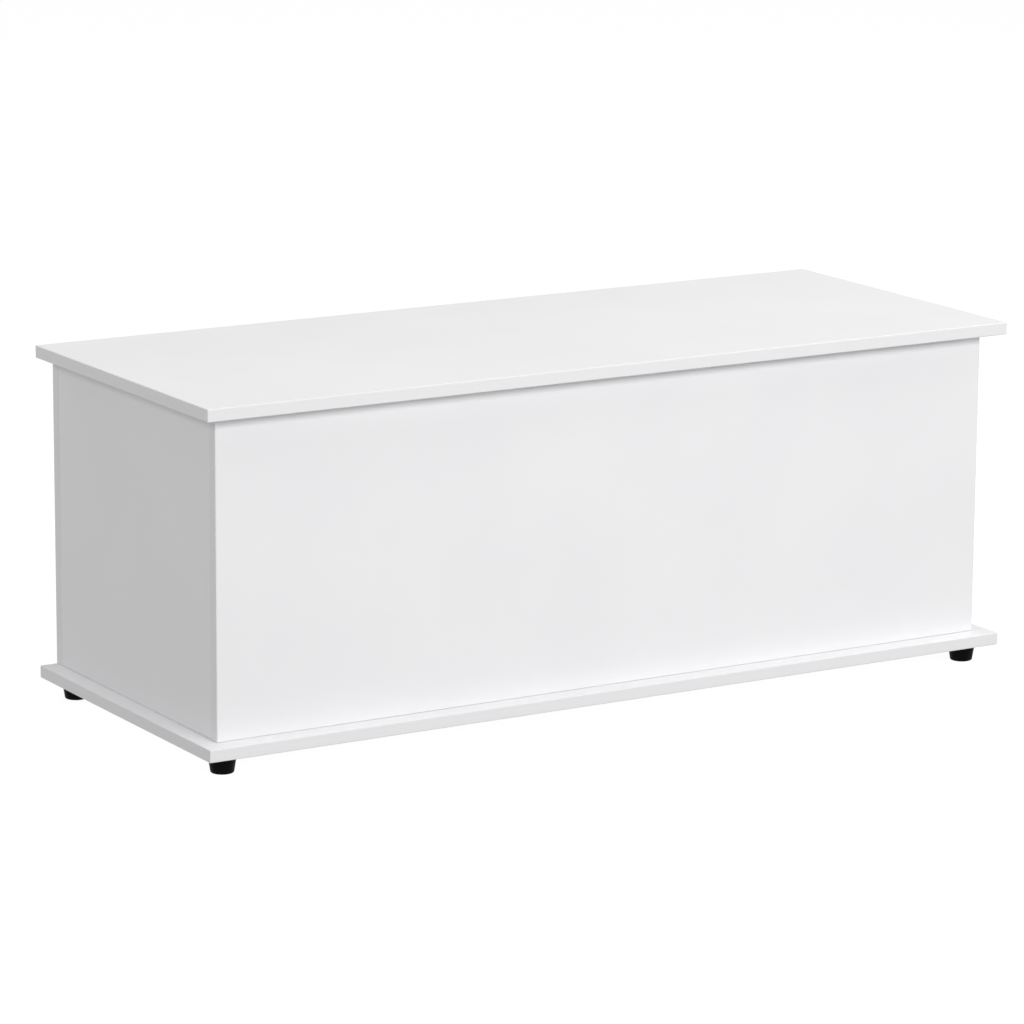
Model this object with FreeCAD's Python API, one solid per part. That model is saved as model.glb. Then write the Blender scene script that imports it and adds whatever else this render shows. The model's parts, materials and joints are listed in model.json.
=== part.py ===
"""A lidded toy chest of white-faced board on four feet, with rear hinges and two gas lid supports.

Millimetres. +X runs along the chest, -Y is its front and +Z is up. The origin is on the floor, under the
middle of the lid and base. The lid is shut. Left and right are as seen from the front.
"""
import FreeCAD
import Part
import math
import os

Vec = FreeCAD.Vector

# Whole chest
LENGTH = 1100.0            # lid and base
DEPTH = 440.0              # lid and base
BOARD = 15.0               # every board
FOOT_HEIGHT = 22.0
WALL_HEIGHT = 374.5
LID_GAP = 1.5              # between the walls and the lid, where the hinge leaves lie
SIDE_OVERHANG = 22.0       # lid and base beyond the ends of the front and back panels
SIDE_SETBACK = 0.5         # side panels behind those ends
FRONT_OVERHANG = 25.0      # lid and base beyond the front panel; the back is flush
BAND = 1.5                 # edge band thickness
ARRIS = 1.2                # rounding along the edge bands
SEAM_HEIGHT = 0.5          # hairline gap round the foot of every wall, above the base
SEAM_DEPTH = 1.5
OVERCUT = 1.0              # how far a cutting tool starts outside what it cuts
TOUCH = 1e-3               # two places nearer than this are the same

# Feet
FOOT_INSET = 32.0          # foot centre from the base's edges
FOOT_TOP_R = 17.0
FOOT_BOTTOM_R = 13.5
FOOT_ROUNDING = 2.0
FOOT_RECESS_R = 5.5
FOOT_RECESS = 11.0         # depth of the screw's recess, from below

# Screws: head radius, shank radius, length
FITTING_SCREW = (2.9, 1.6, 13.0)
BASE_SCREW = (4.6, 2.5, 50.0)
FOOT_SCREW = (3.6, 1.9, 24.0)
HEAD_RIM = 0.3             # straight edge of a countersunk head
RECESS_WIDTH = 0.28        # cross recess, as a share of the head's radius
RECESS_REACH = 0.6         # the same, from the middle to the end of an arm
RECESS_DEPTH = 0.45        # the same

# Corner joints
DOWEL_R = 4.0
DOWEL_LENGTH = 30.0
DOWEL_CHAMFER = 1.0
DOWEL_IN_FACE = 10.0       # the rest is in the other board's edge
CAM_R = 7.5
CAM_DEPTH = 12.0
CAM_CROSS_WIDTH = 1.6
CAM_CROSS_LENGTH = 9.0
CAM_CROSS_DEPTH = 2.0
CAM_SETBACK = 24.0         # cam centre from the side panel's end
CAM_HEIGHTS = (50.0, 325.0)      # above the base
DOWEL_HEIGHTS = (95.0, 280.0)    # above the base
BOLT_THREAD_R = 2.5
BOLT_THREAD = 11.0
BOLT_SHAFT_R = 3.5
BOLT_NECK_R = 2.0
BOLT_HEAD_R = 3.2
BOLT_HOLE_R = 4.0
BOLT_NECK = 5.0            # from the shaft's end to the cam's centre
BOLT_TAPER = 1.0           # at the neck's ends and the head's end

# Joints between the base and the walls
LONG_WALL_SCREWS = (-450.0, -150.0, 150.0, 450.0)
LONG_WALL_DOWELS = (-300.0, 0.0, 300.0)
SHORT_WALL_SCREWS = (-100.0, 100.0)    # from the middle of the side panel

# Hinges, of the flush kind: the lid leaf folds into a notch in the back leaf
HINGE_PLACES = {"left": -400.0, "middle": 0.0, "right": 400.0}
HINGE_LENGTH = 60.0
LEAF = 1.4                 # thickness
LEAF_DEPTH = 14.0          # from the back of the chest forwards
NOTCH_LENGTH = 36.4
NOTCH_BRIDGE = 3.0         # strip of the back leaf in front of the notch
LEAF_CLEARANCE = 0.4       # between the lid leaf and the notch's edge
BARREL_CLEARANCE = 0.2     # between the ends of neighbouring barrels
BARREL_R = 2.5
BARREL_OFFSET = 2.9        # axis behind the chest's back
PIN_R = 1.25
PIN_HEAD_R = 1.9
PIN_HEAD = 0.6
PIN_HEAD_TAPER = 0.4
RUNNING_CLEARANCE = 0.05
BACK_LEAF_SCREW = 24.0     # from the hinge's middle
LID_LEAF_SCREW = 10.0      # the same
LID_SCREW_FROM_BACK = 6.0

# Gas lid supports. Both balls are at the same distance from the hinge axis.
BALL_REACH = 200.0         # from the hinge axis to each ball
LID_BALL_DROP = 22.0       # below the lid
SIDE_BALL_FORWARD = 35.0   # in front of the hinge axis
STRUT_INBOARD = 14.0       # from the side panel to the strut's axis
BALL_R = 4.0
BALL_CLEARANCE = 0.3
BALL_NECK_R = 2.2
BALL_COLLAR_R = 3.8
BALL_COLLAR = 1.6
PLATE = 2.0                # bracket thickness
SIDE_PLATE_WIDTH = 16.0
SIDE_PLATE_HEIGHT = 44.0
SIDE_PLATE_ROUNDING = 7.0
SIDE_PLATE_SCREW = 14.0    # from the ball
TAB_WIDTH = 16.0
TAB_FROM_SIDE = 2.5        # gap between the side panel and the lid bracket's tab
FLANGE_WIDTH = 40.0
FLANGE_LENGTH = 25.0
FLANGE_ROUNDING = 3.0
FLANGE_SCREW = 13.0        # from the ball, along the side panel
SOCKET_R = 6.5
SOCKET_CHAMFER = 2.6
SOCKET_NECK_R = 4.8
SOCKET_SHOULDER = 5.2      # start of the taper to the neck, from the ball's centre
SOCKET_NECK = 9.1          # end of that taper, the same
SOCKET_END = 17.5          # the same
SOCKET_MOUTH_R = 3.6
STUD_START = 8.0           # rod end or cylinder stud, from the ball's centre
TUBE_R = 7.5
TUBE_BORE_R = 6.3
TUBE_START = 18.0          # from the side ball's centre
TUBE_END = 219.0           # the same
TUBE_WALL = 3.0            # closed end
TUBE_LIP = 1.2
TUBE_ROUNDING = 0.8
CRIMP = 0.5                # depth of the groove that holds the rod guide
CRIMP_HALF_WIDTH = 1.2
CRIMP_FROM_END = 9.0
LIP_R = 4.2
GUIDE_LENGTH = 13.0
ROD_R = 3.0
PISTON_START = 42.0        # from the side ball's centre with the lid shut
PISTON = 8.0
PISTON_CLEARANCE = 0.06

# Bumper pads on the front panel
BUMPER_R = 4.0
BUMPER_X = 490.0

# Worked out
BASE_TOP = FOOT_HEIGHT + BOARD
WALL_TOP = BASE_TOP + WALL_HEIGHT
LID_BOTTOM = WALL_TOP + LID_GAP
BODY_END = LENGTH / 2 - SIDE_OVERHANG          # ends of the front and back panels
BODY_FRONT = -DEPTH / 2 + FRONT_OVERHANG
BODY_BACK = DEPTH / 2
SIDE_OUTER = BODY_END - SIDE_SETBACK           # outer face of the side panels
SIDE_INNER = SIDE_OUTER - BOARD                # inner face of the side panels
SIDE_MIDDLE = SIDE_OUTER - BOARD / 2
FRONT_INNER = BODY_FRONT + BOARD
BACK_INNER = BODY_BACK - BOARD
FRONT_MIDDLE = BODY_FRONT + BOARD / 2
BACK_MIDDLE = BODY_BACK - BOARD / 2
HINGE_Y = BODY_BACK + BARREL_OFFSET
HINGE_Z = WALL_TOP + LID_GAP / 2
LID_BALL_Z = LID_BOTTOM - LID_BALL_DROP
LID_BALL_Y = HINGE_Y - math.sqrt(BALL_REACH ** 2 - (HINGE_Z - LID_BALL_Z) ** 2)
SIDE_BALL_Y = HINGE_Y - SIDE_BALL_FORWARD
SIDE_BALL_Z = HINGE_Z - math.sqrt(BALL_REACH ** 2 - SIDE_BALL_FORWARD ** 2)
STRUT_X = SIDE_INNER - STRUT_INBOARD

LEFT, RIGHT = Vec(-1, 0, 0), Vec(1, 0, 0)
FRONT, BACK = Vec(0, -1, 0), Vec(0, 1, 0)
DOWN, UP = Vec(0, 0, -1), Vec(0, 0, 1)

pieces = {}                # node name: its solids


# ---- shapes -------------------------------------------------------------------------------------------

def add(node, *solids):
    """Put solids in a node."""
    pieces.setdefault(node, []).extend(solids)


def drill(nodes, *tools):
    """Cut the tools out of every solid of the named nodes."""
    for node in nodes:
        pieces[node] = [left for solid in pieces[node] for left in solid.cut(list(tools)).Solids]


def box(low, high):
    """A box between two corners."""
    size = [b - a for a, b in zip(low, high)]
    return Part.makeBox(*size, Vec(*low))


def rod(start, direction, radius, length):
    """A cylinder from a point along a direction."""
    return Part.makeCylinder(radius, length, start, direction)


def turned(profile, start, direction):
    """A turned solid. The profile is (radius, distance along the direction) points."""
    points = [Vec(radius, 0, along) for radius, along in profile]
    face = Part.Face(Part.makePolygon(points + points[:1]))
    solid = face.revolve(Vec(), UP, 360)
    return aimed(solid, start, direction)


def aimed(solid, start, direction):
    """A solid that was made at the origin along +Z, moved to start and along a direction."""
    return solid.transformed(FreeCAD.Placement(start, FreeCAD.Rotation(UP, direction)).Matrix)


def rounded(solid, radius, along):
    """Round the straight edges that run along a direction."""
    edges = [edge for edge in solid.Edges if abs(edge.tangentAt(edge.FirstParameter) * along) > 0.99]
    return solid.makeFillet(radius, edges)


def mirrored(solid):
    """The left-hand copy of a right-hand piece."""
    return solid.mirror(Vec(), RIGHT)


def add_pair(name, right_solid):
    """Put a right-hand solid and its left-hand copy in a node each."""
    add("right_" + name, right_solid)
    add("left_" + name, mirrored(right_solid))


def cross(width, length, depth, start, direction):
    """The two arms of a cross recess that is sunk from start along a direction."""
    half, reach = width / 2, length / 2
    return [
        aimed(box((-half, -reach, -OVERCUT), (half, reach, depth)), start, direction),
        aimed(box((-reach, -half, -OVERCUT), (reach, half, depth)), start, direction),
    ]


def screw(size, head, direction):
    """A countersunk screw and its hole. head is the middle of the head's flat top."""
    head_r, shank_r, length = size
    profile = [
        (0, 0),
        (head_r, 0),
        (head_r, HEAD_RIM),
        (shank_r, HEAD_RIM + head_r - shank_r),
        (shank_r, length - 2 * shank_r),
        (0, length),
    ]
    hole = turned(profile, head, direction)
    recess = cross(head_r * RECESS_WIDTH, 2 * head_r * RECESS_REACH, head_r * RECESS_DEPTH, head, direction)
    return hole.cut(recess).Solids[0], hole


def fasten(node, size, head, direction, holed):
    """Add a screw to a node and cut its hole in the nodes that it holds together."""
    solid, hole = screw(size, head, direction)
    add(node, solid)
    drill(holed, hole)


# ---- boards and their edge bands ----------------------------------------------------------------------

# Each edge face of a board: its axis, and 0 for the low end or 1 for the high end
EDGE_FACES = {
    "left": (0, 0),
    "right": (0, 1),
    "front": (1, 0),
    "back": (1, 1),
    "bottom": (2, 0),
    "top": (2, 1),
}


def foot_seam(low, high):
    """The ring that is cut from round the foot of an upright board."""
    top = low[2] + SEAM_HEIGHT
    bottom = low[2] - OVERCUT
    outer_low = (low[0] - OVERCUT, low[1] - OVERCUT, bottom)
    outer_high = (high[0] + OVERCUT, high[1] + OVERCUT, top)
    inner_low = (low[0] + SEAM_DEPTH, low[1] + SEAM_DEPTH, bottom)
    inner_high = (high[0] - SEAM_DEPTH, high[1] - SEAM_DEPTH, top)
    return box(outer_low, outer_high).cut(box(inner_low, inner_high))


def banded_board(board, low, high, bands):
    """A board whose named edges carry glued bands, with the bands' arrises rounded.

    bands is {edge face: node name}. Earlier bands run past the ends of later ones. An upright board has a
    bare bottom edge, with a hairline seam round it.
    """
    flat_axis = min(range(3), key=lambda i: high[i] - low[i])
    corners = (low, high)

    def lies_on(edge, side):
        axis, end = EDGE_FACES[side]
        return abs(edge.CenterOfMass[axis] - corners[end][axis]) < TOUCH

    raw = [s for s, (axis, _) in EDGE_FACES.items() if axis != flat_axis and s not in bands]
    whole = box(low, high)
    arrises = [
        edge
        for edge in whole.Edges
        if any(lies_on(edge, s) for s in bands) and not any(lies_on(edge, s) for s in raw)
    ]
    whole = whole.makeFillet(ARRIS, arrises)
    if "bottom" in raw:
        whole = whole.cut(foot_seam(low, high))
    core = [list(low), list(high)]
    for side, node in bands.items():
        axis, end = EDGE_FACES[side]
        strip = [list(core[0]), list(core[1])]
        inwards = BAND if end == 0 else -BAND
        core[end][axis] += inwards
        strip[1 - end][axis] = core[end][axis]
        add(node, whole.common(box(*strip)).Solids[0])
    add(board, whole.common(box(*core)).Solids[0])


def make_boards():
    """The six boards: lid, base, front, back and two sides."""
    for name, bottom in (("lid", LID_BOTTOM), ("base", FOOT_HEIGHT)):
        low = (-LENGTH / 2, -DEPTH / 2, bottom)
        high = (LENGTH / 2, DEPTH / 2, bottom + BOARD)
        bands = {side: f"{name}_{side}_edge_band" for side in ("front", "back", "left", "right")}
        banded_board(f"{name}_panel", low, high, bands)
    for name, outer_y in (("front", BODY_FRONT), ("back", BACK_INNER)):
        low = (-BODY_END, outer_y, BASE_TOP)
        high = (BODY_END, outer_y + BOARD, WALL_TOP)
        bands = {side: f"{name}_panel_{side}_edge_band" for side in ("left", "right", "top")}
        banded_board(f"{name}_panel", low, high, bands)
    for name, outer_x in (("left", -SIDE_OUTER), ("right", SIDE_INNER)):
        low = (outer_x, FRONT_INNER, BASE_TOP)
        high = (outer_x + BOARD, BACK_INNER, WALL_TOP)
        banded_board(f"{name}_side_panel", low, high, {"top": f"{name}_side_top_edge_band"})


# ---- joints between the boards ------------------------------------------------------------------------

def add_dowel(face, direction, face_board, edge_board):
    """A dowel that leaves one board's face at a point and enters the other board's edge."""
    start = face - direction * DOWEL_IN_FACE
    end = DOWEL_LENGTH
    slim = DOWEL_R - DOWEL_CHAMFER
    profile = [
        (0, 0),
        (slim, 0),
        (DOWEL_R, DOWEL_CHAMFER),
        (DOWEL_R, end - DOWEL_CHAMFER),
        (slim, end),
        (0, end),
    ]
    add("wooden_dowels", turned(profile, start, direction))
    drill([face_board, edge_board], rod(start, direction, DOWEL_R, DOWEL_LENGTH))


def add_cam_joint(side, x, face_y, inwards, z, face_board):
    """A cam lock in a side panel, with its bolt screwed into the front or back panel's inner face."""
    side_board = f"{side}_side_panel"
    face = Vec(x, face_y, z)
    shaft = CAM_SETBACK - BOLT_NECK
    far = CAM_SETBACK + BOLT_HEAD_R
    bolt = turned(
        [
            (0, -BOLT_THREAD),
            (BOLT_THREAD_R, -BOLT_THREAD),
            (BOLT_THREAD_R, 0),
            (BOLT_SHAFT_R, 0),
            (BOLT_SHAFT_R, shaft),
            (BOLT_NECK_R, shaft + BOLT_TAPER),
            (BOLT_NECK_R, CAM_SETBACK - BOLT_TAPER),
            (BOLT_HEAD_R, CAM_SETBACK),
            (BOLT_HEAD_R, far - BOLT_TAPER),
            (BOLT_HEAD_R - BOLT_TAPER, far),
            (0, far),
        ],
        face,
        inwards,
    )
    outwards = RIGHT if x > 0 else LEFT
    mouth = Vec(math.copysign(SIDE_INNER, x), face_y, z) + inwards * CAM_SETBACK
    cam = rod(mouth, outwards, CAM_R, CAM_DEPTH)
    pocket = rod(face, inwards, BOLT_HOLE_R, far + BOLT_TAPER)
    slots = cross(CAM_CROSS_WIDTH, CAM_CROSS_LENGTH, CAM_CROSS_DEPTH, mouth, outwards)
    add("cam_bolts", bolt)
    add("cam_locks", cam.cut([pocket] + slots).Solids[0])
    drill([side_board], cam, pocket)
    drill([face_board], rod(face, -inwards, BOLT_THREAD_R, BOLT_THREAD))


def join_corners():
    """Cam locks and dowels between the side panels and the front and back panels."""
    meetings = (("front_panel", FRONT_INNER, BACK), ("back_panel", BACK_INNER, FRONT))
    for side, x in (("left", -SIDE_MIDDLE), ("right", SIDE_MIDDLE)):
        for board, face_y, inwards in meetings:
            for height in CAM_HEIGHTS:
                add_cam_joint(side, x, face_y, inwards, BASE_TOP + height, board)
            for height in DOWEL_HEIGHTS:
                add_dowel(Vec(x, face_y, BASE_TOP + height), inwards, board, f"{side}_side_panel")


def join_base():
    """Screws from below, and dowels, between the base and the four walls."""
    middle_y = (FRONT_INNER + BACK_INNER) / 2
    walls = {
        "front_panel": [(x, FRONT_MIDDLE) for x in LONG_WALL_SCREWS],
        "back_panel": [(x, BACK_MIDDLE) for x in LONG_WALL_SCREWS],
        "left_side_panel": [(-SIDE_MIDDLE, middle_y + y) for y in SHORT_WALL_SCREWS],
        "right_side_panel": [(SIDE_MIDDLE, middle_y + y) for y in SHORT_WALL_SCREWS],
    }
    for wall, places in walls.items():
        for x, y in places:
            fasten("base_screws", BASE_SCREW, Vec(x, y, FOOT_HEIGHT), UP, ["base_panel", wall])
    dowels = {
        "front_panel": [(x, FRONT_MIDDLE) for x in LONG_WALL_DOWELS],
        "back_panel": [(x, BACK_MIDDLE) for x in LONG_WALL_DOWELS],
        "left_side_panel": [(-SIDE_MIDDLE, middle_y)],
        "right_side_panel": [(SIDE_MIDDLE, middle_y)],
    }
    for wall, places in dowels.items():
        for x, y in places:
            add_dowel(Vec(x, y, BASE_TOP), UP, "base_panel", wall)


# ---- feet ---------------------------------------------------------------------------------------------

def add_feet():
    """Four tapered feet, each held by one screw from below."""
    for row, y in (("front", -DEPTH / 2 + FOOT_INSET), ("back", DEPTH / 2 - FOOT_INSET)):
        for side, x in (("left", -LENGTH / 2 + FOOT_INSET), ("right", LENGTH / 2 - FOOT_INSET)):
            node = f"{row}_{side}_foot"
            foot = Part.makeCone(FOOT_BOTTOM_R, FOOT_TOP_R, FOOT_HEIGHT, Vec(x, y, 0), UP)
            rim = [edge for edge in foot.Edges if edge.BoundBox.ZMax < TOUCH]
            add(node, foot.makeFillet(FOOT_ROUNDING, rim))
            drill([node], rod(Vec(x, y, 0), UP, FOOT_RECESS_R, FOOT_RECESS))
            fasten("foot_screws", FOOT_SCREW, Vec(x, y, FOOT_RECESS), UP, [node, "base_panel"])


# ---- hinges -------------------------------------------------------------------------------------------

def barrel(x, half):
    """A hinge barrel about the hinge axis, reaching half its length each way from x."""
    return rod(Vec(x - half, HINGE_Y, HINGE_Z), RIGHT, BARREL_R, 2 * half)


def add_hinge(name, x):
    """One flush hinge: a notched leaf on the back panel, a leaf on the lid and the pin."""
    back_leaf, lid_leaf = f"{name}_hinge_back_leaf", f"{name}_hinge_lid_leaf"
    leaf_front = BODY_BACK - LEAF_DEPTH
    half, half_notch = HINGE_LENGTH / 2, NOTCH_LENGTH / 2
    notch_front = leaf_front + NOTCH_BRIDGE

    plate = box((x - half, leaf_front, WALL_TOP), (x + half, HINGE_Y, WALL_TOP + LEAF))
    notch = box((x - half_notch, notch_front, WALL_TOP - OVERCUT), (x + half_notch, HINGE_Y, LID_BOTTOM))
    end_barrel = (half - half_notch) / 2
    ends = [barrel(x + turn * (half_notch + end_barrel), end_barrel) for turn in (-1, 1)]
    pin_hole = rod(Vec(x - half, HINGE_Y, HINGE_Z), RIGHT, PIN_R, HINGE_LENGTH)
    add(back_leaf, plate.cut(notch).fuse(ends).removeSplitter().cut(pin_hole).Solids[0])

    reach = half_notch - LEAF_CLEARANCE
    tongue_front = notch_front + LEAF_CLEARANCE
    tongue = box((x - reach, tongue_front, LID_BOTTOM - LEAF), (x + reach, HINGE_Y, LID_BOTTOM))
    middle = barrel(x, half_notch - BARREL_CLEARANCE)
    bore = rod(Vec(x - half, HINGE_Y, HINGE_Z), RIGHT, PIN_R + RUNNING_CLEARANCE, HINGE_LENGTH)
    add(lid_leaf, tongue.fuse(middle).removeSplitter().cut(bore).Solids[0])

    pin_end = half + PIN_HEAD
    profile = [
        (0, -pin_end),
        (PIN_HEAD_R - PIN_HEAD_TAPER, -pin_end),
        (PIN_HEAD_R, -half),
        (PIN_R, -half),
        (PIN_R, half),
        (PIN_HEAD_R, half),
        (PIN_HEAD_R - PIN_HEAD_TAPER, pin_end),
        (0, pin_end),
    ]
    add(f"{name}_hinge_pin", turned(profile, Vec(x, HINGE_Y, HINGE_Z), RIGHT))

    for turn in (-1, 1):
        head = Vec(x + turn * BACK_LEAF_SCREW, BACK_MIDDLE, WALL_TOP + LEAF)
        held = [back_leaf, "back_panel_top_edge_band", "back_panel"]
        fasten("chest_fitting_screws", FITTING_SCREW, head, DOWN, held)
        head = Vec(x + turn * LID_LEAF_SCREW, BODY_BACK - LID_SCREW_FROM_BACK, LID_BOTTOM - LEAF)
        fasten("lid_fitting_screws", FITTING_SCREW, head, UP, [lid_leaf, "lid_panel"])


# ---- gas lid supports ---------------------------------------------------------------------------------

def ball_stud(plate_x, centre):
    """The collar, neck and ball that stand inboard from a bracket's plate, on the right-hand side."""
    start = Vec(plate_x, centre.y, centre.z)
    reach = plate_x - centre.x
    collar = rod(start, LEFT, BALL_COLLAR_R, BALL_COLLAR)
    return collar.fuse([rod(start, LEFT, BALL_NECK_R, reach), Part.makeSphere(BALL_R, centre, LEFT)])


def side_bracket(ball):
    """An oblong plate on the side panel, with its ball."""
    inner = SIDE_INNER - PLATE
    half_width, half_height = SIDE_PLATE_WIDTH / 2, SIDE_PLATE_HEIGHT / 2
    low = (inner, ball.y - half_width, ball.z - half_height)
    high = (SIDE_INNER, ball.y + half_width, ball.z + half_height)
    plate = rounded(box(low, high), SIDE_PLATE_ROUNDING, RIGHT)
    return plate.fuse(ball_stud(inner, ball)).removeSplitter()


def lid_bracket(ball):
    """An angle under the lid whose hanging tab carries the ball."""
    tab_outer = SIDE_INNER - TAB_FROM_SIDE
    tab_inner = tab_outer - PLATE
    half_tab, half_flange = TAB_WIDTH / 2, FLANGE_WIDTH / 2
    tab = box((tab_inner, ball.y - half_tab, ball.z), (tab_outer, ball.y + half_tab, LID_BOTTOM))
    tab_end = rod(Vec(tab_inner, ball.y, ball.z), RIGHT, half_tab, PLATE)
    low = (tab_outer - FLANGE_LENGTH, ball.y - half_flange, LID_BOTTOM - PLATE)
    high = (tab_outer, ball.y + half_flange, LID_BOTTOM)
    flange = rounded(box(low, high), FLANGE_ROUNDING, UP)
    return flange.fuse([tab, tab_end, ball_stud(tab_inner, ball)]).removeSplitter()


def ball_socket(ball, direction, stud):
    """A moulded socket over a ball, open towards the side panel, with a neck along the strut."""
    profile = [
        (0, -SOCKET_R),
        (SOCKET_R - SOCKET_CHAMFER, -SOCKET_R),
        (SOCKET_R, SOCKET_CHAMFER - SOCKET_R),
        (SOCKET_R, SOCKET_SHOULDER),
        (SOCKET_NECK_R, SOCKET_NECK),
        (SOCKET_NECK_R, SOCKET_END),
        (0, SOCKET_END),
    ]
    hollow = Part.makeSphere(BALL_R + BALL_CLEARANCE, ball, LEFT)
    mouth = rod(ball, RIGHT, SOCKET_MOUTH_R, 2 * SOCKET_R)
    return turned(profile, ball, direction).cut([hollow, mouth, stud])


def add_struts():
    """Both gas lid supports with their brackets. The right one is drawn and the left one mirrors it."""
    side_ball = Vec(STRUT_X, SIDE_BALL_Y, SIDE_BALL_Z)
    lid_ball = Vec(STRUT_X, LID_BALL_Y, LID_BALL_Z)
    along = (lid_ball - side_ball).normalize()
    strut_length = (lid_ball - side_ball).Length

    crimp = TUBE_END - CRIMP_FROM_END
    tube_profile = [
        (0, STUD_START),
        (ROD_R, STUD_START),
        (ROD_R, TUBE_START),
        (TUBE_R - TUBE_ROUNDING, TUBE_START),
        (TUBE_R, TUBE_START + TUBE_ROUNDING),
        (TUBE_R, crimp - CRIMP_HALF_WIDTH),
        (TUBE_R - CRIMP, crimp),
        (TUBE_R, crimp + CRIMP_HALF_WIDTH),
        (TUBE_R, TUBE_END - TUBE_ROUNDING),
        (TUBE_R - TUBE_ROUNDING, TUBE_END),
        (LIP_R, TUBE_END),
        (LIP_R, TUBE_END - TUBE_LIP),
        (TUBE_BORE_R, TUBE_END - TUBE_LIP),
        (TUBE_BORE_R, TUBE_START + TUBE_WALL),
        (0, TUBE_START + TUBE_WALL),
    ]
    guide_end = TUBE_END - TUBE_LIP
    guide_bore_r = ROD_R + RUNNING_CLEARANCE
    guide_profile = [
        (guide_bore_r, guide_end - GUIDE_LENGTH),
        (TUBE_BORE_R, guide_end - GUIDE_LENGTH),
        (TUBE_BORE_R, guide_end),
        (guide_bore_r, guide_end),
    ]
    piston_r = TUBE_BORE_R - PISTON_CLEARANCE
    piston_profile = [
        (ROD_R, PISTON_START),
        (piston_r, PISTON_START),
        (piston_r, PISTON_START + PISTON),
        (ROD_R, PISTON_START + PISTON),
    ]
    stud = rod(side_ball + along * STUD_START, along, ROD_R, SOCKET_END)
    rod_start = side_ball + along * PISTON_START
    rod_solid = rod(rod_start, along, ROD_R, strut_length - STUD_START - PISTON_START)

    add_pair("strut_cylinder", turned(tube_profile, side_ball, along))
    add_pair("strut_rod_guide", turned(guide_profile, side_ball, along))
    add_pair("strut_piston", turned(piston_profile, side_ball, along))
    add_pair("strut_rod", rod_solid)
    add_pair("strut_cylinder_socket", ball_socket(side_ball, along, stud))
    add_pair("strut_rod_socket", ball_socket(lid_ball, -along, rod_solid))
    add_pair("strut_side_bracket", side_bracket(side_ball))
    add_pair("strut_lid_bracket", lid_bracket(lid_ball))

    plate_face = SIDE_INNER - PLATE
    flange_middle = SIDE_INNER - TAB_FROM_SIDE - FLANGE_LENGTH / 2
    for side, outwards in (("left", LEFT), ("right", RIGHT)):
        for turn in (-1, 1):
            head = Vec(outwards.x * plate_face, SIDE_BALL_Y, SIDE_BALL_Z + turn * SIDE_PLATE_SCREW)
            held = [f"{side}_strut_side_bracket", f"{side}_side_panel"]
            fasten("chest_fitting_screws", FITTING_SCREW, head, outwards, held)
            head = Vec(outwards.x * flange_middle, LID_BALL_Y + turn * FLANGE_SCREW, LID_BOTTOM - PLATE)
            held = [f"{side}_strut_lid_bracket", "lid_panel"]
            fasten("lid_fitting_screws", FITTING_SCREW, head, UP, held)


# ---- bumper pads --------------------------------------------------------------------------------------

def add_bumpers():
    """Two soft pads on the front panel that the lid shuts onto."""
    for x in (-BUMPER_X, BUMPER_X):
        pad = rod(Vec(x, FRONT_MIDDLE, WALL_TOP), UP, BUMPER_R, LID_GAP)
        add("lid_bumpers", pad)


# ---- the whole chest ----------------------------------------------------------------------------------

def save():
    """Write one STEP file for each node."""
    os.makedirs("parts", exist_ok=True)
    for node, solids in pieces.items():
        shape = solids[0] if len(solids) == 1 else Part.makeCompound(solids)
        if not shape.isValid():
            raise ValueError(f"{node} isn't a valid shape")
        shape.exportStep(f"parts/{node}.step")


make_boards()
join_corners()
join_base()
add_feet()
for hinge_name, hinge_x in HINGE_PLACES.items():
    add_hinge(hinge_name, hinge_x)
add_struts()
add_bumpers()
save()
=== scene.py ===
"""Looks of the toy chest: materials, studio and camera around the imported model. Metres throughout."""
import json
import math

import bmesh
import bpy
from mathutils import Matrix, Vector


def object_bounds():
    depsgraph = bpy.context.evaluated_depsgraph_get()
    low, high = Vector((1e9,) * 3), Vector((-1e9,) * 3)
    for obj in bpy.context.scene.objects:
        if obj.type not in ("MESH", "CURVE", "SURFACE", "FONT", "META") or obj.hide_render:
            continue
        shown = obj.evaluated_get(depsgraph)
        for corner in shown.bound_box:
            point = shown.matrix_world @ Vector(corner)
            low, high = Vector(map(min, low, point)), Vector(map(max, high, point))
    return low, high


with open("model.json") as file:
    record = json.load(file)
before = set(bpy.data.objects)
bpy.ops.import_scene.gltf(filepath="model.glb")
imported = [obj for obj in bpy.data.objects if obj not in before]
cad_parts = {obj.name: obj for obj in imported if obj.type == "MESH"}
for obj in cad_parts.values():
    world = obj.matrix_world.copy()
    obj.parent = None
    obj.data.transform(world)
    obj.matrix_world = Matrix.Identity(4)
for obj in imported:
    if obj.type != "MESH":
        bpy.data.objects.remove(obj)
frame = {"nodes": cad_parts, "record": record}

CAD_LOW, CAD_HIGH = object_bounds()

# Camera: where it stands round the chest, and how it is framed
AZIMUTH = math.radians(-31.18)
ELEVATION = math.radians(12.69)
DISTANCE = 5.790           # from the middle of the chest
SIDE_STEP = -0.0192        # to the right
RISE = -0.0058             # upwards
ROLL = math.radians(0.39)
LENS = 167.9               # focal length in millimetres
SENSOR_WIDTH = 36.0        # the same
FARTHEST_SEEN = 200.0      # past the rim of the floor

# Materials: how far roughness varies over one surface
PLASTIC_ROUGHNESS_SPREAD = 0.12
METAL_ROUGHNESS_SPREAD = 0.14

# Studio
FLOOR_RADIUS = 40.0
FLOOR_SEGMENTS = 96
FLOOR_GLOW = 0.95
FLOOR_WHITE = 0.10         # the rest of its brightness, from the lamps
SEEN_SKY = 1.0             # how bright the sky looks
SKY_LIGHT = 0.38           # light on the chest from above the horizon
BOUNCE_LIGHT = 0.50        # the same from below it, as from a white floor
HORIZON_BLUR = 0.15        # where one fades into the other, as a share of straight up
LAMP_DISTANCE = 4.5        # from the middle of the chest
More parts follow.
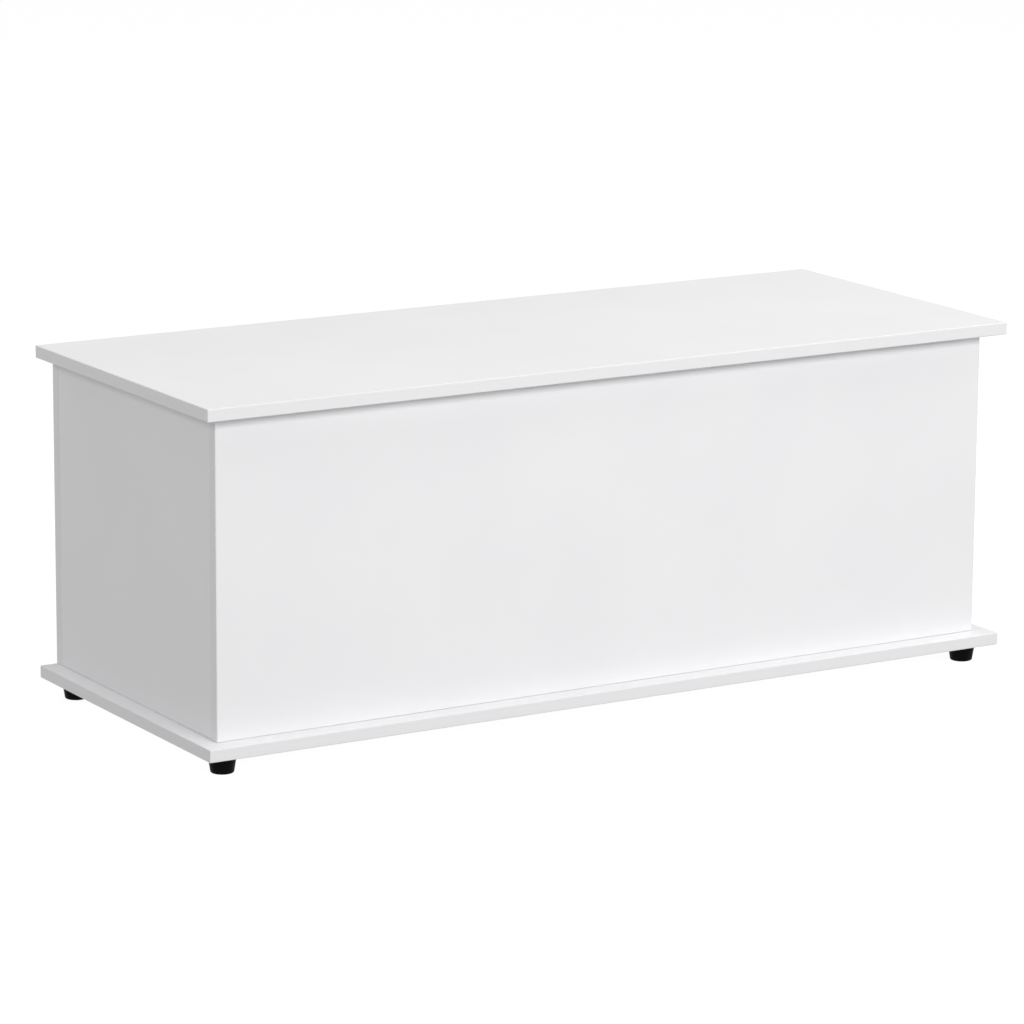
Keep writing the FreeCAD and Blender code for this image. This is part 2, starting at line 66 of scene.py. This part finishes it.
# Each softbox: name, degrees round from the front, degrees up, width, height, watts, seen in reflections
SOFTBOXES = (
    ("front_softbox", 5, 25, 2.5, 1.2, 112, False),
    ("left_softbox", -90, 30, 2.5, 1.0, 28, True),
    ("right_softbox", 90, 45, 2.5, 2.0, 65, True),
    ("back_softbox", 200, 40, 3.0, 2.0, 25, True),
    ("top_softbox", 0, 75, 3.0, 2.5, 25, True),
)


# ---- materials ----------------------------------------------------------------------------------------

class Nodes:
    """A material's node tree, with short calls that add a node and link it."""

    def __init__(self, name):
        self.material = bpy.data.materials.new(name)
        self.material.use_nodes = True
        self.tree = self.material.node_tree
        self.tree.nodes.clear()
        self.output = self.tree.nodes.new("ShaderNodeOutputMaterial")
        self.shader = self.tree.nodes.new("ShaderNodeBsdfPrincipled")
        self.link(self.shader.outputs["BSDF"], self.output.inputs["Surface"])
        coordinates = self.tree.nodes.new("ShaderNodeTexCoord")
        self.place = coordinates.outputs["Object"]
        self.fitted = coordinates.outputs["Generated"]

    def link(self, output, socket):
        self.tree.links.new(output, socket)
        return output

    def set(self, **values):
        """Constant values on the shader, named with underscores for spaces."""
        for name, value in values.items():
            self.shader.inputs[name.replace("_", " ")].default_value = value

    def noise(self, scale, detail=2.0, roughness=0.5, stretch=(1, 1, 1), place=None):
        """Noise over the object, scale in features per metre, or per piece where place is fitted to it."""
        mapping = self.tree.nodes.new("ShaderNodeMapping")
        mapping.inputs["Scale"].default_value = stretch
        self.link(place or self.place, mapping.inputs["Vector"])
        node = self.tree.nodes.new("ShaderNodeTexNoise")
        node.inputs["Scale"].default_value = scale
        node.inputs["Detail"].default_value = detail
        node.inputs["Roughness"].default_value = roughness
        self.link(mapping.outputs["Vector"], node.inputs["Vector"])
        return node.outputs["Fac"]

    def ramp(self, fac, low, high, start=0.3, end=0.7):
        """A colour that runs from low to high as fac runs from start to end."""
        node = self.tree.nodes.new("ShaderNodeValToRGB")
        node.color_ramp.elements[0].position = start
        node.color_ramp.elements[0].color = (*low, 1)
        node.color_ramp.elements[1].position = end
        node.color_ramp.elements[1].color = (*high, 1)
        self.link(fac, node.inputs["Fac"])
        return node.outputs["Color"]

    def span(self, fac, low, high, start=0.3, end=0.7):
        """A number that runs from low to high as fac runs from start to end."""
        node = self.tree.nodes.new("ShaderNodeMapRange")
        for name, value in (("From Min", start), ("From Max", end), ("To Min", low), ("To Max", high)):
            node.inputs[name].default_value = value
        self.link(fac, node.inputs["Value"])
        return node.outputs["Result"]

    def bump(self, *layers):
        """Height layers of (fac, depth in metres), one over the other."""
        normal = None
        for fac, depth in layers:
            node = self.tree.nodes.new("ShaderNodeBump")
            node.inputs["Distance"].default_value = depth
            self.link(fac, node.inputs["Height"])
            if normal:
                self.link(normal, node.inputs["Normal"])
            normal = node.outputs["Normal"]
        self.link(normal, self.shader.inputs["Normal"])


def faced_board():
    """Melamine facing: a satin white paper under resin, with a fine pressed texture."""
    m = Nodes("faced_board")
    cloud = m.noise(6.0, 3.0)
    grain = m.noise(1400.0, 2.0, 0.6)
    ripple = m.noise(150.0, 2.0)
    m.set(Specular_IOR_Level=0.35)
    m.link(m.ramp(cloud, (0.838, 0.838, 0.850), (0.860, 0.860, 0.870)), m.shader.inputs["Base Color"])
    m.link(m.span(grain, 0.50, 0.58), m.shader.inputs["Roughness"])
    m.bump((grain, 0.00001), (ripple, 0.000015))
    return m.material


def edge_band():
    """Extruded plastic band: satin, with faint lines along it, which fitted noise stretches with it."""
    m = Nodes("edge_band")
    lines = m.noise(22.0, 3.0, 0.6, place=m.fitted)
    grain = m.noise(1100.0, 2.0, 0.6)
    m.set(Specular_IOR_Level=0.22)
    m.link(m.ramp(lines, (0.788, 0.788, 0.797), (0.822, 0.822, 0.830)), m.shader.inputs["Base Color"])
    m.link(m.span(grain, 0.36, 0.44), m.shader.inputs["Roughness"])
    m.bump((grain, 0.000008), (lines, 0.00001))
    return m.material


def moulded_plastic(name, dark, light, rough, shine):
    """Injection-moulded plastic with a fine spark-eroded grain."""
    m = Nodes(name)
    grain = m.noise(1800.0, 2.0, 0.6)
    cloud = m.noise(120.0, 3.0)
    m.set(Specular_IOR_Level=shine)
    m.link(m.ramp(cloud, dark, light), m.shader.inputs["Base Color"])
    m.link(m.span(grain, rough, rough + PLASTIC_ROUGHNESS_SPREAD), m.shader.inputs["Roughness"])
    m.bump((grain, 0.00002))
    return m.material


def plated_metal(name, dark, light, rough):
    """Zinc-plated or ground metal, faintly mottled."""
    m = Nodes(name)
    mottle = m.noise(700.0, 3.0, 0.6)
    cloud = m.noise(90.0, 3.0)
    m.set(Metallic=1.0)
    m.link(m.ramp(cloud, dark, light), m.shader.inputs["Base Color"])
    m.link(m.span(mottle, rough, rough + METAL_ROUGHNESS_SPREAD), m.shader.inputs["Roughness"])
    m.bump((mottle, 0.000006))
    return m.material


def lacquered_tube():
    """Grey stoved lacquer on the support's cylinder."""
    m = Nodes("cylinder_paint")
    peel = m.noise(900.0, 2.0)
    cloud = m.noise(60.0, 3.0)
    m.set(Coat_Weight=0.3, Coat_Roughness=0.15)
    m.link(m.ramp(cloud, (0.30, 0.31, 0.32), (0.34, 0.35, 0.36)), m.shader.inputs["Base Color"])
    m.link(m.span(peel, 0.30, 0.40), m.shader.inputs["Roughness"])
    m.bump((peel, 0.000008))
    return m.material


def beech():
    """Plain turned beech with short flecks."""
    m = Nodes("dowel_beech")
    grain = m.noise(260.0, 4.0, 0.6, (1, 1, 0.12))
    m.link(m.ramp(grain, (0.56, 0.38, 0.22), (0.74, 0.55, 0.36)), m.shader.inputs["Base Color"])
    m.link(m.span(grain, 0.55, 0.7), m.shader.inputs["Roughness"])
    m.bump((grain, 0.00004))
    return m.material


def bumper_rubber():
    """Milky soft pad."""
    m = Nodes("bumper_rubber")
    cloud = m.noise(300.0, 2.0)
    m.link(m.ramp(cloud, (0.72, 0.73, 0.74), (0.80, 0.81, 0.82)), m.shader.inputs["Base Color"])
    m.link(m.span(cloud, 0.45, 0.6), m.shader.inputs["Roughness"])
    m.bump((cloud, 0.00002))
    return m.material


def paint_nodes():
    """Give every CAD node the material of its slot."""
    finishes = {
        "faced_board": faced_board(),
        "edge_band": edge_band(),
        "foot_plastic": moulded_plastic(
            "foot_plastic", (0.0012, 0.0012, 0.0014), (0.0026, 0.0026, 0.0028), rough=0.30, shine=0.1
        ),
        "socket_plastic": moulded_plastic(
            "socket_plastic", (0.015, 0.015, 0.016), (0.024, 0.024, 0.025), rough=0.40, shine=0.4
        ),
        "cylinder_paint": lacquered_tube(),
        "rod_chrome": plated_metal("rod_chrome", (0.68, 0.68, 0.70), (0.74, 0.74, 0.76), 0.08),
        "bumper_rubber": bumper_rubber(),
        "dowel_beech": beech(),
        "cam_zinc": plated_metal("cam_zinc", (0.50, 0.51, 0.52), (0.62, 0.63, 0.64), 0.38),
        "screw_steel": plated_metal("screw_steel", (0.60, 0.61, 0.63), (0.70, 0.71, 0.72), 0.26),
        "plated_steel": plated_metal("plated_steel", (0.58, 0.59, 0.61), (0.68, 0.69, 0.70), 0.28),
    }
    for part in frame["record"]["subparts"]:
        mesh = frame["nodes"][part["node"]].data
        mesh.materials.clear()
        mesh.materials.append(finishes[part["material_slot"]])


# ---- studio -------------------------------------------------------------------------------------------

def make_floor():
    """A wide white floor that glows, so that no shadow shows on it. The sky lights the chest through it."""
    mesh = bpy.data.meshes.new("floor")
    shape = bmesh.new()
    bmesh.ops.create_circle(shape, cap_ends=True, segments=FLOOR_SEGMENTS, radius=FLOOR_RADIUS)
    shape.to_mesh(mesh)
    shape.free()
    floor = bpy.data.objects.new("floor", mesh)
    bpy.context.scene.collection.objects.link(floor)
    m = Nodes("floor")
    m.set(Base_Color=(FLOOR_WHITE, FLOOR_WHITE, FLOOR_WHITE, 1), Roughness=0.9)
    m.set(Emission_Color=(1, 1, 1, 1), Emission_Strength=FLOOR_GLOW, Specular_IOR_Level=0.0)
    mesh.materials.append(m.material)
    floor.visible_diffuse = False
    floor.visible_glossy = False
    floor.visible_shadow = False


def make_sky():
    """White all round. It looks white itself, and lights the chest more gently, most of all from below."""
    world = bpy.data.worlds.new("studio")
    world.use_nodes = True
    tree = world.node_tree
    background = tree.nodes["Background"]
    background.inputs["Color"].default_value = (1, 1, 1, 1)
    direction = tree.nodes.new("ShaderNodeTexCoord").outputs["Generated"]
    split = tree.nodes.new("ShaderNodeSeparateXYZ")
    light = tree.nodes.new("ShaderNodeMapRange")
    light.inputs["From Min"].default_value = -HORIZON_BLUR
    light.inputs["From Max"].default_value = HORIZON_BLUR
    light.inputs["To Min"].default_value = BOUNCE_LIGHT
    light.inputs["To Max"].default_value = SKY_LIGHT
    path = tree.nodes.new("ShaderNodeLightPath")
    strength = tree.nodes.new("ShaderNodeMapRange")
    strength.inputs["To Max"].default_value = SEEN_SKY
    tree.links.new(direction, split.inputs["Vector"])
    tree.links.new(split.outputs["Z"], light.inputs["Value"])
    tree.links.new(path.outputs["Is Camera Ray"], strength.inputs["Value"])
    tree.links.new(light.outputs["Result"], strength.inputs["To Min"])
    tree.links.new(strength.outputs["Result"], background.inputs["Strength"])
    bpy.context.scene.world = world


def bearing(azimuth, elevation):
    """The direction at an angle round from the front, towards +X, and an angle up."""
    return Vector((
        math.sin(azimuth) * math.cos(elevation),
        -math.cos(azimuth) * math.cos(elevation),
        math.sin(elevation),
    ))


def make_softbox(name, azimuth, elevation, width, height, power, mirrored):
    """A rectangular area lamp that faces the middle of the chest. Reflections show it only if mirrored."""
    data = bpy.data.lights.new(name, "AREA")
    data.shape = "RECTANGLE"
    data.size = width
    data.size_y = height
    data.energy = power
    direction = bearing(math.radians(azimuth), math.radians(elevation))
    lamp = bpy.data.objects.new(name, data)
    lamp.location = (CAD_LOW + CAD_HIGH) / 2 + direction * LAMP_DISTANCE
    lamp.rotation_euler = direction.to_track_quat("Z", "Y").to_euler()
    lamp.visible_glossy = mirrored
    bpy.context.scene.collection.objects.link(lamp)


def make_camera():
    """The camera at the product view: front-left and a little above."""
    back = bearing(AZIMUTH, ELEVATION)
    level = Vector((0, 0, 1)).cross(back).normalized()
    upright = back.cross(level)
    right = level * math.cos(ROLL) + upright * math.sin(ROLL)
    up = upright * math.cos(ROLL) - level * math.sin(ROLL)
    centre = Vector((0, 0, (CAD_LOW.z + CAD_HIGH.z) / 2))
    data = bpy.data.cameras.new("camera")
    data.lens = LENS
    data.sensor_width = SENSOR_WIDTH
    data.clip_end = FARTHEST_SEEN
    camera = bpy.data.objects.new("camera", data)
    turn = Matrix((right, up, back)).transposed().to_4x4()
    camera.matrix_world = Matrix.Translation(centre + back * DISTANCE + right * SIDE_STEP + up * RISE) @ turn
    bpy.context.scene.collection.objects.link(camera)
    bpy.context.scene.camera = camera


def make_studio():
    """Floor, light, camera and plain colour handling."""
    make_floor()
    make_sky()
    for softbox in SOFTBOXES:
        make_softbox(*softbox)
    make_camera()
    bpy.context.scene.view_settings.view_transform = "Standard"


paint_nodes()
make_studio()
